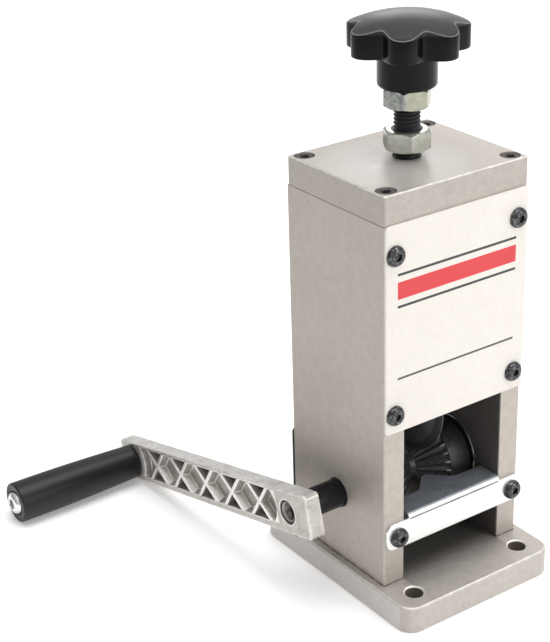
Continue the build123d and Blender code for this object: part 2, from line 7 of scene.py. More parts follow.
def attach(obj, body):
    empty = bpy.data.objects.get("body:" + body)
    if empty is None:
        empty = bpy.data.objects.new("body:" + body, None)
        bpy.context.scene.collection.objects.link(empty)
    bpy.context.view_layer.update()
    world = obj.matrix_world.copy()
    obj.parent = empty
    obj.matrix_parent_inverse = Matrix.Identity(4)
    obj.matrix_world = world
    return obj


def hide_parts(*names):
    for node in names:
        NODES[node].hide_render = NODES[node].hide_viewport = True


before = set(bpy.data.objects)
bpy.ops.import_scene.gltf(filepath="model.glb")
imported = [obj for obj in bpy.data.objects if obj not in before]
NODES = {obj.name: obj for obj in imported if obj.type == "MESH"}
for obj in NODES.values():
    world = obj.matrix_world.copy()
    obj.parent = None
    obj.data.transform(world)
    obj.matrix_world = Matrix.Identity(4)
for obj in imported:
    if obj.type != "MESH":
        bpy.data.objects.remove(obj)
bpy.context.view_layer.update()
MM = 0.001

# ------------------------------------------------------------------
# Sizes shared with the solid model, millimetres
# ------------------------------------------------------------------
SHAFT_Z = 47.7
ARM_L, GRIP_Z = 146.0, 10.6
ARM_ANG = math.asin((SHAFT_Z - GRIP_Z) / ARM_L)
GRIP_Y = ARM_L * math.cos(ARM_ANG)
ARM_XO, ARM_XI = -69.0, -61.0
Z1, Z2 = 189.9, 203.5
KNOB_Z, RIM_Z, RIM_TOP, APEX_Z = 235.0, 251.0, 261.1, 267.1
KNOB_R, KNOB_V, LOBES, HUB_R = 27.0, 21.2, 7, 13.15
CAM_AZ = math.atan2(-517.66, -428.19)
KNOB_PH = CAM_AZ + math.radians(-5.0)


# ------------------------------------------------------------------
# Mesh helpers
# ------------------------------------------------------------------
def finish_mesh(bm, name, angle=32.0, place=None):
    """Turns a bmesh in millimetres into an object in metres, with sharp edges marked by angle."""
    bmesh.ops.remove_doubles(bm, verts=bm.verts, dist=1e-5)
    bmesh.ops.recalc_face_normals(bm, faces=bm.faces)
    if place is not None:
        bm.transform(place)
    bm.transform(Matrix.Scale(MM, 4))
    for f in bm.faces:
        f.smooth = True
    lim = math.radians(angle)
    for e in bm.edges:
        if len(e.link_faces) == 2 and e.calc_face_angle(0.0) > lim:
            e.smooth = False
    me = bpy.data.meshes.new(name)
    bm.to_mesh(me)
    bm.free()
    ob = bpy.data.objects.new(name, me)
    bpy.context.scene.collection.objects.link(ob)
    return ob


def arc_pts(cx, cy, r, a0, a1, n):
    """Points on an arc, angles in degrees."""
    out = []
    for i in range(n + 1):
        a = math.radians(a0 + (a1 - a0) * i / n)
        out.append((cx + r * math.cos(a), cy + r * math.sin(a)))
    return out


def lathe(bm, profile, seg=96, m=None, closed=False, rfun=None):
    """Revolves (r, z) points about Z; rfun(point index, angle, r) may change the radius."""
    m = m or Matrix.Identity(4)
    rings = []
    for k, (r, z) in enumerate(profile):
        if r < 1e-6:
            rings.append([bm.verts.new(m @ Vector((0, 0, z)))])
            continue
        ring = []
        for i in range(seg):
            a = 2 * math.pi * i / seg
            rr = rfun(k, a, r) if rfun else r
            ring.append(bm.verts.new(m @ Vector((rr * math.cos(a), rr * math.sin(a), z))))
        rings.append(ring)
    pairs = list(zip(rings[:-1], rings[1:]))
    if closed:
        pairs.append((rings[-1], rings[0]))
    for p, q in pairs:
        if len(p) == 1 and len(q) == 1:
            continue
        for i in range(seg):
            j = (i + 1) % seg
            if len(p) == 1:
                bm.faces.new((p[0], q[i], q[j]))
            elif len(q) == 1:
                bm.faces.new((p[i], p[j], q[0]))
            else:
                bm.faces.new((p[i], p[j], q[j], q[i]))


AXIS_X = Matrix.Rotation(math.radians(90), 4, "Y")      # local Z becomes world +X
AXIS_NX = Matrix.Rotation(math.radians(-90), 4, "Y")    # local Z becomes world -X
AXIS_NY = Matrix.Rotation(math.radians(90), 4, "X")     # local Z becomes world -Y
AXIS_PY = Matrix.Rotation(math.radians(-90), 4, "X")    # local Z becomes world +Y


def hex_r(a, af, ph=0.0):
    """Radius of a hexagon's outline at angle a, corners at ph + k * 60 degrees."""
    t = (a - ph) % math.radians(60) - math.radians(30)
    return af / 2 / math.cos(t)


# ------------------------------------------------------------------
# Materials
# ------------------------------------------------------------------
class Mat:
    """Small wrapper that builds a node material step by step."""

    def __init__(self, name):
        self.m = bpy.data.materials.new(name)
        self.m.use_nodes = True
        self.t = self.m.node_tree
        self.n = self.t.nodes
        self.l = self.t.links
        self.n.clear()
        self.out = self.n.new("ShaderNodeOutputMaterial")
        self.b = self.n.new("ShaderNodeBsdfPrincipled")
        self.l.new(self.b.outputs[0], self.out.inputs[0])
        self.tc = self.n.new("ShaderNodeTexCoord")

    def coords(self, scale=(1, 1, 1), rot=(0, 0, 0)):
        mp = self.n.new("ShaderNodeMapping")
        mp.inputs["Scale"].default_value = scale
        mp.inputs["Rotation"].default_value = rot
        self.l.new(self.tc.outputs["Object"], mp.inputs["Vector"])
        return mp.outputs[0]

    def noise(self, scale, detail=4.0, rough=0.55, vec=None, dist=0.0):
        x = self.n.new("ShaderNodeTexNoise")
        x.inputs["Scale"].default_value = scale
        x.inputs["Detail"].default_value = detail
        x.inputs["Roughness"].default_value = rough
        x.inputs["Distortion"].default_value = dist
        self.l.new(vec if vec is not None else self.coords(), x.inputs["Vector"])
        return x.outputs["Fac"]

    def ramp(self, fac, stops):
        r = self.n.new("ShaderNodeValToRGB")
        while len(r.color_ramp.elements) < len(stops):
            r.color_ramp.elements.new(0.5)
        for e, (p, c) in zip(r.color_ramp.elements, stops):
            e.position = p
            e.color = (*c, 1) if len(c) == 3 else c
        self.l.new(fac, r.inputs[0])
        return r.outputs[0]

    def rng(self, fac, a, b, c, d):
        r = self.n.new("ShaderNodeMapRange")
        r.inputs["From Min"].default_value = a
        r.inputs["From Max"].default_value = b
        r.inputs["To Min"].default_value = c
        r.inputs["To Max"].default_value = d
        self.l.new(fac, r.inputs["Value"])
        return r.outputs[0]

    def mix(self, fac, a, b, mode="MIX"):
        x = self.n.new("ShaderNodeMix")
        x.data_type = "RGBA"
        x.blend_type = mode
        for s, v in ((x.inputs[6], a), (x.inputs[7], b)):
            if isinstance(v, (tuple, list)):
                s.default_value = (*v, 1) if len(v) == 3 else v
            else:
                self.l.new(v, s)
        if isinstance(fac, (int, float)):
            x.inputs[0].default_value = fac
        else:
            self.l.new(fac, x.inputs[0])
        return x.outputs[2]

    def math(self, op, a, b=None):
        x = self.n.new("ShaderNodeMath")
        x.operation = op
        for s, v in ((x.inputs[0], a), (x.inputs[1], b)):
            if v is None:
                continue
            if isinstance(v, (int, float)):
                s.default_value = v
            else:
                self.l.new(v, s)
        return x.outputs[0]

    def xyz(self, vec=None):
        s = self.n.new("ShaderNodeSeparateXYZ")
        self.l.new(vec if vec is not None else self.tc.outputs["Object"], s.inputs[0])
        return s.outputs

    def bump(self, heights, bevel=0.0):
        """heights is a list of (socket, distance in metres, strength)."""
        prev = None
        if bevel:
            bv = self.n.new("ShaderNodeBevel")
            bv.samples = 6
            bv.inputs["Radius"].default_value = bevel
            prev = bv.outputs[0]
        for h, dist, strength in heights:
            b = self.n.new("ShaderNodeBump")
            b.inputs["Distance"].default_value = dist
            b.inputs["Strength"].default_value = strength
            self.l.new(h, b.inputs["Height"])
            if prev is not None:
                self.l.new(prev, b.inputs["Normal"])
            prev = b.outputs[0]
        if prev is not None:
            self.l.new(prev, self.b.inputs["Normal"])

    def edges(self, radius, lo=0.004, hi=0.06):
        """Mask that is 1 on outer edges and 0 on faces."""
        bv = self.n.new("ShaderNodeBevel")
        bv.samples = 6
        bv.inputs["Radius"].default_value = radius
        ge = self.n.new("ShaderNodeNewGeometry")
        d = self.n.new("ShaderNodeVectorMath")
        d.operation = "DOT_PRODUCT"
        self.l.new(bv.outputs[0], d.inputs[0])
        self.l.new(ge.outputs["Normal"], d.inputs[1])
        return self.rng(self.math("SUBTRACT", 1.0, d.outputs["Value"]), lo, hi, 0.0, 1.0)

    def set(self, **kw):
        names = {"color": "Base Color", "rough": "Roughness", "metal": "Metallic", "spec": "Specular IOR Level",
                 "coat": "Coat Weight", "coat_rough": "Coat Roughness", "aniso": "Anisotropic", "ior": "IOR"}
        for k, v in kw.items():
            s = self.b.inputs[names[k]]
            if isinstance(v, (int, float)):
                s.default_value = v
            elif isinstance(v, (tuple, list)):
                s.default_value = (*v, 1)
            else:
                self.l.new(v, s)
        return self


def housing(name, base, metal=0.55, rough=0.46, grain=1.0, bevel=0.0003, inner=0.0, holes=None, edge_highlight=None, screw_light_pool=None, tray_shade=False, wear=0.0, seam_shade=0.0, grit=0.0, flank_light=0.0):
    """Bead-blasted, lightly ground metal with faint clouds. Painted shade darkens inner faces, hole walls, the base
    under the tray and the foot of the side plates; painted highlights lighten edge bands, hole rims, the base flanks
    and a pool round a top plate screw.
    """
    m = Mat(name)
    fine = m.noise(1500, 2.0, 0.6)
    mott = m.noise(230, 5.0, 0.7)
    cloud = m.noise(26, 3.0, 0.55)
    streak = m.noise(60, 3.0, 0.5, m.coords((1, 1, 14)))
    d = tuple(c * 0.80 for c in base)
    l = tuple(min(1, c * 1.15) for c in base)
    c1 = m.ramp(mott, [(0.30, d), (0.70, l)])
    c2 = m.mix(0.34, c1, m.ramp(cloud, [(0.3, tuple(c * 0.88 for c in base)), (0.7, tuple(min(1, c * 1.08) for c in base))]))
    c3 = m.mix(0.20, c2, m.ramp(fine, [(0.35, d), (0.65, l)]))
    xs = m.xyz()
    if inner:
        # Painted shade: faces between the side plates are darkened, where shade falls inside the housing.
        deep_shade = m.math("LESS_THAN", m.math("ABSOLUTE", xs[0]), inner)
        inner_shade = m.mix(1.0, c3, (0.25, 0.25, 0.26), "MULTIPLY")
        c3 = m.mix(deep_shade, c3, inner_shade)
    if holes:
        hx, hy, hr = holes
        dx = m.math("SUBTRACT", m.math("ABSOLUTE", xs[0]), hx)
        dy = m.math("SUBTRACT", m.math("ABSOLUTE", xs[1]), hy)
        rr = m.math("SQRT", m.math("ADD", m.math("MULTIPLY", dx, dx), m.math("MULTIPLY", dy, dy)))
        # Painted shade: inside the hole radius the walls are darkened.
        c3 = m.mix(m.math("LESS_THAN", rr, hr), c3, m.mix(1.0, c3, (0.42, 0.38, 0.33), "MULTIPLY"))
        # Painted highlight: a pale ring on the top face round each hole, as a lit chamfer.
        ring = m.math("MULTIPLY", m.math("GREATER_THAN", rr, hr), m.math("LESS_THAN", rr, 0.00492))
        ring = m.math("MULTIPLY", ring, m.math("GREATER_THAN", xs[2], 0.0126))
        c3 = m.mix(m.math("MULTIPLY", ring, 0.75), c3, (0.93, 0.92, 0.90))
    if edge_highlight:
        lo, hi = edge_highlight
        # Painted highlight: a thin pale band along the top edge of the plate.
        band = m.math("MULTIPLY", m.math("GREATER_THAN", xs[2], lo), m.math("LESS_THAN", xs[2], hi))
        c3 = m.mix(m.math("MULTIPLY", band, m.rng(mott, 0.35, 0.6, 0.30, 0.65)), c3, (0.93, 0.92, 0.90))
    if screw_light_pool:
        gx, gy, gr = screw_light_pool
        # Painted light: a soft pale pool round a top plate screw, on the top face.
        dx = m.math("SUBTRACT", xs[0], gx)
        dy = m.math("SUBTRACT", xs[1], gy)
        gg = m.math("SQRT", m.math("ADD", m.math("MULTIPLY", dx, dx), m.math("MULTIPLY", dy, dy)))
        wob = m.math("ADD", gg, m.math("MULTIPLY", m.math("SUBTRACT", cloud, 0.5), 0.016))
        c3 = m.mix(m.math("MULTIPLY", m.rng(wob, gr, 0.0, 0.0, 0.6), m.math("GREATER_THAN", xs[2], 0.2034)), c3, (0.88, 0.87, 0.85))
    if tray_shade:
        # Painted shade: the base top under the tray darkens towards the back.
        deep_shade = m.math("MULTIPLY", m.math("LESS_THAN", m.math("ABSOLUTE", xs[0]), 0.0287), m.rng(xs[1], -0.046, -0.024, 0.0, 0.82))
        deep_shade = m.math("MULTIPLY", deep_shade, m.math("GREATER_THAN", xs[2], 0.0130))
        c3 = m.mix(deep_shade, c3, (0.060, 0.055, 0.050))
    if flank_light:
        # Painted light: the base's side faces are lightened and cooled a little.
        side = m.math("GREATER_THAN", m.math("ABSOLUTE", xs[0]), flank_light)
        c3 = m.mix(side, c3, m.mix(0.16, c3, (0.95, 0.96, 0.98)))
    if grit:
        speck = m.rng(m.noise(900, 3.0, 0.7), 0.40, 0.60, grit, 0.0)
        c3 = m.mix(speck, c3, m.mix(1.0, c3, (0.55, 0.52, 0.49), "MULTIPLY"))
    if seam_shade:
        # Painted shade: a dark band at the foot of the side plates, where they meet the base.
        low = m.math("LESS_THAN", xs[2], seam_shade)
        c3 = m.mix(m.math("MULTIPLY", low, m.rng(mott, 0.35, 0.6, 0.9, 0.5)), c3, (0.085, 0.065, 0.050))
    if wear:
        c3 = m.mix(m.math("MULTIPLY", m.edges(0.0004), m.rng(mott, 0.38, 0.58, wear * 0.4, wear)), c3, (0.90, 0.885, 0.865))
    m.set(color=c3, metal=metal, rough=m.rng(mott, 0.3, 0.7, rough - 0.05, rough + 0.07))
    m.bump([(fine, 0.00006, 0.45 * grain), (mott, 0.00016, 0.34 * grain), (streak, 0.00005, 0.15 * grain)], bevel)
    return m.m


def dark_metal(name, base, rough=0.38, metal=0.6, bevel=0.00025):
    m = Mat(name)
    n = m.noise(420, 3.0, 0.6)
    k = m.noise(70, 2.0, 0.5)
    c = m.ramp(n, [(0.3, tuple(x * 0.75 for x in base)), (0.7, tuple(x * 1.35 for x in base))])
    m.set(color=c, metal=metal, rough=m.rng(k, 0.3, 0.7, rough - 0.07, rough + 0.09))
    m.bump([(n, 0.00004, 0.3)], bevel)
    return m.m


def turned_metal(name, base, axis="z", rough=0.28, metal=0.95, bevel=0.0003, fine=900):
    """Fine lines round a turning axis, or along a ground face."""
    m = Mat(name)
    sc = {"z": (0.06, 0.06, 1.0), "x": (1.0, 0.06, 0.06), "y": (0.06, 1.0, 0.06)}[axis]
    ln = m.noise(fine, 3.0, 0.6, m.coords(sc))
    sp = m.noise(160, 3.0, 0.6)
    c = m.ramp(ln, [(0.3, tuple(x * 0.86 for x in base)), (0.7, tuple(min(1, x * 1.08) for x in base))])
    c = m.mix(0.25, c, m.ramp(sp, [(0.35, tuple(x * 0.85 for x in base)), (0.65, base)]))
    m.set(color=c, metal=metal, rough=m.rng(sp, 0.3, 0.7, rough - 0.06, rough + 0.08))
    m.bump([(ln, 0.00004, 0.3)], bevel)
    return m.m


def make_gun():
    """Black oxide button heads, rubbed through in specks."""
    m = Mat("dark_button_screws")
    a = m.noise(900, 4.0, 0.7)
    b = m.noise(1700, 2.0, 0.6)
    c = m.ramp(a, [(0.36, (0.022, 0.022, 0.024)), (0.56, (0.085, 0.085, 0.088)), (0.70, (0.30, 0.30, 0.30))])
    m.set(color=c, metal=0.85, rough=m.rng(a, 0.3, 0.7, 0.42, 0.24))
    m.bump([(a, 0.00012, 0.5), (b, 0.00005, 0.4)], 0.00012)
    return m.m


M = {}
M["side"] = housing("housing_sides", (0.456, 0.412, 0.370), metal=0.35, rough=0.46, bevel=0.0003, inner=0.0287, wear=0.45, seam_shade=0.0143, grit=0.10)
M["top"] = housing("housing_top", (0.415, 0.380, 0.343), metal=0.4, rough=0.42, bevel=0.0003, edge_highlight=(0.20294, 0.20347), screw_light_pool=(-0.011, -0.005, 0.036), grit=0.10)
M["base"] = housing("housing_base", (0.485, 0.450, 0.412), metal=0.35, rough=0.46, bevel=0.00035, holes=(0.0315, 0.0453, 0.00428), edge_highlight=(0.01290, 0.01337), tray_shade=True, wear=0.3, grit=0.16, flank_light=0.04385)
M["black"] = dark_metal("blackened_screws", (0.030, 0.030, 0.034), rough=0.36, metal=0.5)
M["cap"] = dark_metal("dark_cap_screws", (0.060, 0.052, 0.050), rough=0.66, metal=0.05)
M["gun"] = make_gun()
M["sheet_black"] = dark_metal("black_sheet", (0.018, 0.018, 0.02), rough=0.5, metal=0.2)
M["bearing"] = turned_metal("ground_bearing_steel", (0.55, 0.56, 0.57), "x", rough=0.2)
M["brass"] = turned_metal("turned_brass", (0.72, 0.52, 0.22), "z", rough=0.3)
M["carriage"] = housing("carriage_block", (0.17, 0.165, 0.16), metal=0.5, rough=0.5)


def make_cast():
    """Die cast arm: satin, slightly rippled skin; painted shade darkens the pocket floors, and painted highlights
    lighten the top rail, the rib tops and the edges.
    """
    m = Mat("cast_arm")
    fine = m.noise(1100, 2.0, 0.6)
    skin = m.noise(170, 5.0, 0.68)
    cloud = m.noise(38, 3.0, 0.55)
    base = (0.500, 0.472, 0.437)
    c = m.ramp(skin, [(0.32, tuple(x * 0.62 for x in base)), (0.68, tuple(x * 1.22 for x in base))])
    c = m.mix(0.35, c, m.ramp(cloud, [(0.35, tuple(x * 0.84 for x in base)), (0.65, tuple(x * 1.10 for x in base))]))
    c = m.mix(m.rng(m.noise(620, 3.0, 0.7), 0.40, 0.58, 0.30, 0.0), c, (0.30, 0.275, 0.24))
    xs = m.xyz()
    yz = m.math("SUBTRACT", xs[2], 0.0477)
    along = m.math("SUBTRACT", m.math("MULTIPLY", xs[1], math.cos(ARM_ANG)), m.math("MULTIPLY", yz, math.sin(ARM_ANG)))
    across = m.math("ADD", m.math("MULTIPLY", xs[1], math.sin(ARM_ANG)), m.math("MULTIPLY", yz, math.cos(ARM_ANG)))
    inside = m.math("MULTIPLY", m.math("LESS_THAN", m.math("ABSOLUTE", m.math("SUBTRACT", across, 0.0009)), 0.0080),
                    m.math("MULTIPLY", m.math("GREATER_THAN", along, 0.0085), m.math("LESS_THAN", along, 0.1370)))
    # Painted shade: pocket floors are darkened, the deep triangles darker still, where shade falls in the recesses.
    pocket_floor_shade = m.math("MULTIPLY", m.rng(xs[0], -0.0668, -0.0650, 0.0, 1.0), inside)
    deep_shade = m.math("MULTIPLY", m.rng(xs[0], -0.0650, -0.0632, 0.0, 1.0), inside)
    c = m.mix(m.math("MULTIPLY", pocket_floor_shade, m.rng(skin, 0.35, 0.65, 0.75, 0.35)), c, (0.20, 0.175, 0.145))
    c = m.mix(m.math("MULTIPLY", deep_shade, m.rng(skin, 0.35, 0.65, 0.90, 0.65)), c, (0.070, 0.058, 0.047))
    # Painted highlight: the top rail of the arm is lightened.
    c = m.mix(m.math("MULTIPLY", m.math("GREATER_THAN", across, 0.0100), m.rng(skin, 0.35, 0.65, 0.15, 0.40)), c, (0.93, 0.93, 0.93))
    # Painted highlight: the rib tops on the outer face are lightened.
    rib_highlight = m.math("MULTIPLY", m.math("LESS_THAN", xs[0], -0.06885), inside)
    c = m.mix(m.math("MULTIPLY", rib_highlight, m.rng(skin, 0.35, 0.6, 0.45, 0.85)), c, (0.86, 0.84, 0.81))
    # Painted highlight: a pale band along the arm's outer edges.
    c = m.mix(m.math("MULTIPLY", m.edges(0.0013, 0.002, 0.035), m.rng(skin, 0.36, 0.6, 0.55, 1.0)), c, (0.97, 0.96, 0.94))
    m.set(color=c, metal=0.5, rough=m.rng(skin, 0.3, 0.7, 0.27, 0.44))
    m.bump([(skin, 0.00020, 0.40), (fine, 0.00005, 0.3)], 0.0006)
    return m.m


def make_plate():
    """Front plate: creamy enamel with two plain stripes across it."""
    m = Mat("white_front_plate")
    xs = m.xyz()
    z = xs[2]
    x = m.math("ABSOLUTE", xs[0])
    inside = m.math("LESS_THAN", x, 0.0335)

    def band(lo, hi):
        return m.math("MULTIPLY", m.math("MULTIPLY", m.math("GREATER_THAN", z, lo), m.math("LESS_THAN", z, hi)), inside)

    n = m.noise(260, 3.0, 0.5)
    cloud = m.noise(30, 2.0, 0.5)
    base = m.ramp(n, [(0.3, (0.665, 0.625, 0.575)), (0.7, (0.715, 0.675, 0.625))])
    base = m.mix(0.35, base, m.ramp(cloud, [(0.3, (0.66, 0.625, 0.575)), (0.7, (0.72, 0.685, 0.635))]))
    c = m.mix(band(0.1560, 0.1640), base, (0.60, 0.022, 0.030))
    c = m.mix(band(0.1520, 0.1532), c, (0.02, 0.02, 0.02))
    c = m.mix(band(0.1668, 0.1680), c, (0.02, 0.02, 0.02))
    c = m.mix(band(0.1180, 0.1190), c, (0.05, 0.05, 0.05))
    m.set(color=c, metal=0.0, rough=m.rng(n, 0.3, 0.7, 0.34, 0.44), coat=0.15, coat_rough=0.25)
    m.bump([(n, 0.00003, 0.25)], 0.0003)
    return m.m


def make_tray():
    """Polished sheet with rolling lines along its width; the top face is painted dark as shade and reflection, and a
    painted dark line of shade runs along the bend.
    """
    m = Mat("polished_tray")
    ln = m.noise(700, 3.0, 0.6, m.coords((0.05, 1, 1)))
    sp = m.noise(120, 3.0, 0.55)
    soft = m.noise(40, 2.0, 0.5, m.coords((0.35, 1, 1)))
    c = m.ramp(soft, [(0.3, (0.70, 0.70, 0.69)), (0.7, (0.80, 0.80, 0.785))])
    xs = m.xyz()
    # Painted shade and reflection: the top face is coloured dark and bluish, the flange of the same sheet light.
    top = m.rng(xs[2], 0.0471, 0.04775, 0.0, 1.0)
    c = m.mix(top, c, m.ramp(sp, [(0.3, (0.24, 0.26, 0.30)), (0.7, (0.35, 0.375, 0.42))]))
    # Painted shade: a thin dark line along the bend.
    painted_line = m.math("MULTIPLY", m.math("GREATER_THAN", xs[2], 0.04485), m.math("LESS_THAN", xs[2], 0.04580))
    painted_line = m.math("MULTIPLY", painted_line, m.math("LESS_THAN", m.math("ABSOLUTE", m.math("SUBTRACT", xs[0], 0.0008)), 0.0268))
    c = m.mix(m.math("MULTIPLY", painted_line, m.rng(sp, 0.3, 0.6, 0.75, 0.95)), c, (0.11, 0.11, 0.12))
    m.set(color=c, metal=m.rng(top, 0.0, 1.0, 0.85, 0.55), rough=m.rng(soft, 0.3, 0.7, 0.20, 0.28))
    m.bump([(ln, 0.00002, 0.25), (soft, 0.0001, 0.10)], 0.0004)
    return m.m


def make_roller():
    """Black oxide roller; the tooth ends round the groove's rims are worn bright, the shaft end is bare; painted shade
    darkens the centre recess and the drum's far rim, and a painted highlight rings the recess.
    """
    m = Mat("toothed_roller")
    xs = m.xyz()
    ax = m.math("ABSOLUTE", xs[0])
    dz = m.math("SUBTRACT", xs[2], SHAFT_Z * MM)
    rr = m.math("SQRT", m.math("ADD", m.math("MULTIPLY", xs[1], xs[1]), m.math("MULTIPLY", dz, dz)))
    n = m.noise(500, 3.0, 0.6)
    k = m.noise(120, 3.0, 0.6)
    tip = m.math("ADD", 0.0071, m.math("MULTIPLY", m.math("SUBTRACT", ax, 0.0015), 10.5 / 12.5))
    crest = m.rng(m.math("SUBTRACT", rr, tip), -0.00055, -0.00015, 0.0, 1.0)
    outer = m.math("MULTIPLY", m.rng(rr, 0.0156, 0.0166, 0.0, 1.0), m.math("LESS_THAN", ax, 0.0144))
    wear = m.math("MULTIPLY", m.math("MULTIPLY", crest, outer), m.rng(k, 0.30, 0.58, 0.25, 1.0))
    dark = m.ramp(n, [(0.3, (0.030, 0.030, 0.033)), (0.7, (0.062, 0.062, 0.068))])
    c = m.mix(wear, dark, (0.62, 0.62, 0.63))
    bare = m.math("LESS_THAN", xs[0], -0.0682)
    face = m.math("MULTIPLY", m.rng(rr, 0.00455, 0.00475, 0.0, 1.0), m.rng(rr, 0.00575, 0.00555, 0.0, 1.0))
    c = m.mix(bare, c, m.mix(face, m.ramp(k, [(0.40, (0.012, 0.011, 0.010)), (0.62, (0.11, 0.10, 0.09))]), m.ramp(n, [(0.3, (0.012, 0.012, 0.012)), (0.7, (0.045, 0.044, 0.043))])))
    # Painted shade and highlight: the centre recess is near black inside, with a pale ring near its rim.
    cone = m.math("MULTIPLY", m.math("LESS_THAN", xs[0], -0.0635), m.math("LESS_THAN", rr, 0.00472))
    recess_light_and_shade = m.mix(m.rng(rr, 0.0024, 0.0030, 0.0, 1.0), (0.006, 0.006, 0.006), m.ramp(n, [(0.35, (0.035, 0.028, 0.022)), (0.65, (0.26, 0.225, 0.19))]))
    recess_light_and_shade = m.mix(m.rng(rr, 0.0040, 0.0043, 0.0, 1.0), recess_light_and_shade, (0.40, 0.38, 0.35))
    c = m.mix(cone, c, recess_light_and_shade)
    # Painted shade: the drum's far rim beyond the teeth is darkened.
    rim_shade = m.math("MULTIPLY", m.math("GREATER_THAN", ax, 0.0254), m.math("GREATER_THAN", rr, 0.0165))
    c = m.mix(rim_shade, c, (0.012, 0.012, 0.013))
    shaft = m.math("MULTIPLY", m.math("LESS_THAN", xs[0], -0.0380), m.math("LESS_THAN", rr, 0.0073))
    shaft = m.math("MULTIPLY", shaft, m.math("GREATER_THAN", xs[0], -0.0615))
    c = m.mix(shaft, c, m.ramp(k, [(0.35, (0.006, 0.006, 0.008)), (0.65, (0.020, 0.020, 0.024))]))
    ro = m.math("SUBTRACT", m.rng(k, 0.3, 0.7, 0.36, 0.52), m.math("MULTIPLY", shaft, 0.12))
    m.set(color=c, metal=0.5, rough=ro)
    m.bump([(n, 0.00005, 0.3)], 0.0002)
    return m.m


def make_blade():
    """Disc blade, ground radially, with a painted bow tie highlight and a rim painted darker as shade."""
    m = Mat("disc_blade")
    xs = m.xyz()
    dz = m.math("SUBTRACT", xs[2], 0.0859)
    ang = m.math("ARCTAN2", dz, xs[1])
    # Painted highlight: a bow tie of light across the face, following cos(2 angle).
    wave = m.math("COSINE", m.math("MULTIPLY", ang, 2.0))
    k = m.noise(200, 3.0, 0.6)
    comb = m.n.new("ShaderNodeCombineXYZ")
    m.l.new(m.math("MULTIPLY", ang, 60.0), comb.inputs[0])
    lines = m.noise(3.0, 3.0, 0.6, comb.outputs[0])
    c = m.ramp(m.rng(wave, -1, 1, 0.0, 1.0), [(0.0, (0.12, 0.122, 0.126)), (0.60, (0.24, 0.244, 0.25)), (1.0, (0.66, 0.665, 0.67))])
    c = m.mix(0.35, c, m.ramp(lines, [(0.35, (0.18, 0.18, 0.19)), (0.65, (0.52, 0.52, 0.53))]))
    rad = m.math("SQRT", m.math("ADD", m.math("MULTIPLY", xs[1], xs[1]), m.math("MULTIPLY", dz, dz)))
    # Painted shade: the ground rim beyond 22 mm is darkened.
    c = m.mix(m.rng(rad, 0.0222, 0.0236, 0.0, 0.75), c, (0.07, 0.07, 0.072))
    m.set(color=c, metal=0.8, rough=m.rng(k, 0.3, 0.7, 0.34, 0.48))
    m.bump([(lines, 0.00004, 0.25)], 0.0001)
    return m.m


def make_zinc():
    """Zinc plated nuts, a little yellow-green, with soft spangle; the flats carry painted light and shade by the side
    they face.
    """
    m = Mat("zinc_nuts")
    a = m.noise(420, 4.0, 0.65)
    b = m.noise(75, 2.0, 0.5)
    c = m.ramp(a, [(0.3, (0.36, 0.37, 0.35)), (0.7, (0.56, 0.57, 0.53))])
    c = m.mix(0.35, c, m.ramp(b, [(0.38, (0.30, 0.33, 0.34)), (0.5, (0.46, 0.47, 0.43)), (0.62, (0.68, 0.68, 0.62))]))
    xs = m.xyz()
    # Painted light and shade: flats on one side are darker and bluer, flats on the other lighter and warmer.
    s = m.math("SUBTRACT", m.math("MULTIPLY", xs[0], 0.816), m.math("MULTIPLY", xs[1], 0.577))
    upper = m.math("GREATER_THAN", xs[2], 0.2205)
    cut = m.rng(s, -0.0016, -0.0010, 0.0, 1.0)
    jam = m.mix(cut, m.ramp(a, [(0.35, (0.36, 0.375, 0.39)), (0.62, (0.66, 0.67, 0.67))]), (0.78, 0.76, 0.65))
    left = m.rng(s, -0.0093, -0.0086, 0.0, 1.0)
    right = m.rng(s, 0.0024, 0.0030, 0.0, 1.0)
    low = m.mix(left, (0.62, 0.64, 0.62), (1.0, 1.0, 0.97))
    low = m.mix(right, low, (0.92, 0.94, 0.88))
    painted_face_shade = m.mix(upper, low, jam)
    c = m.mix(1.0, c, painted_face_shade, "MULTIPLY")
    m.set(color=c, metal=0.75, rough=m.rng(b, 0.3, 0.7, 0.18, 0.30))
    m.bump([(a, 0.00006, 0.35)], 0.0003)
    return m.m


def make_bright():
    m = Mat("bright_bolt")
    a = m.noise(300, 3.0, 0.6)
    c = m.ramp(a, [(0.3, (0.66, 0.66, 0.65)), (0.7, (0.82, 0.82, 0.81))])
    m.set(color=c, metal=1.0, rough=m.rng(a, 0.3, 0.7, 0.16, 0.26))
    m.bump([(a, 0.00003, 0.2)])
    return m.m


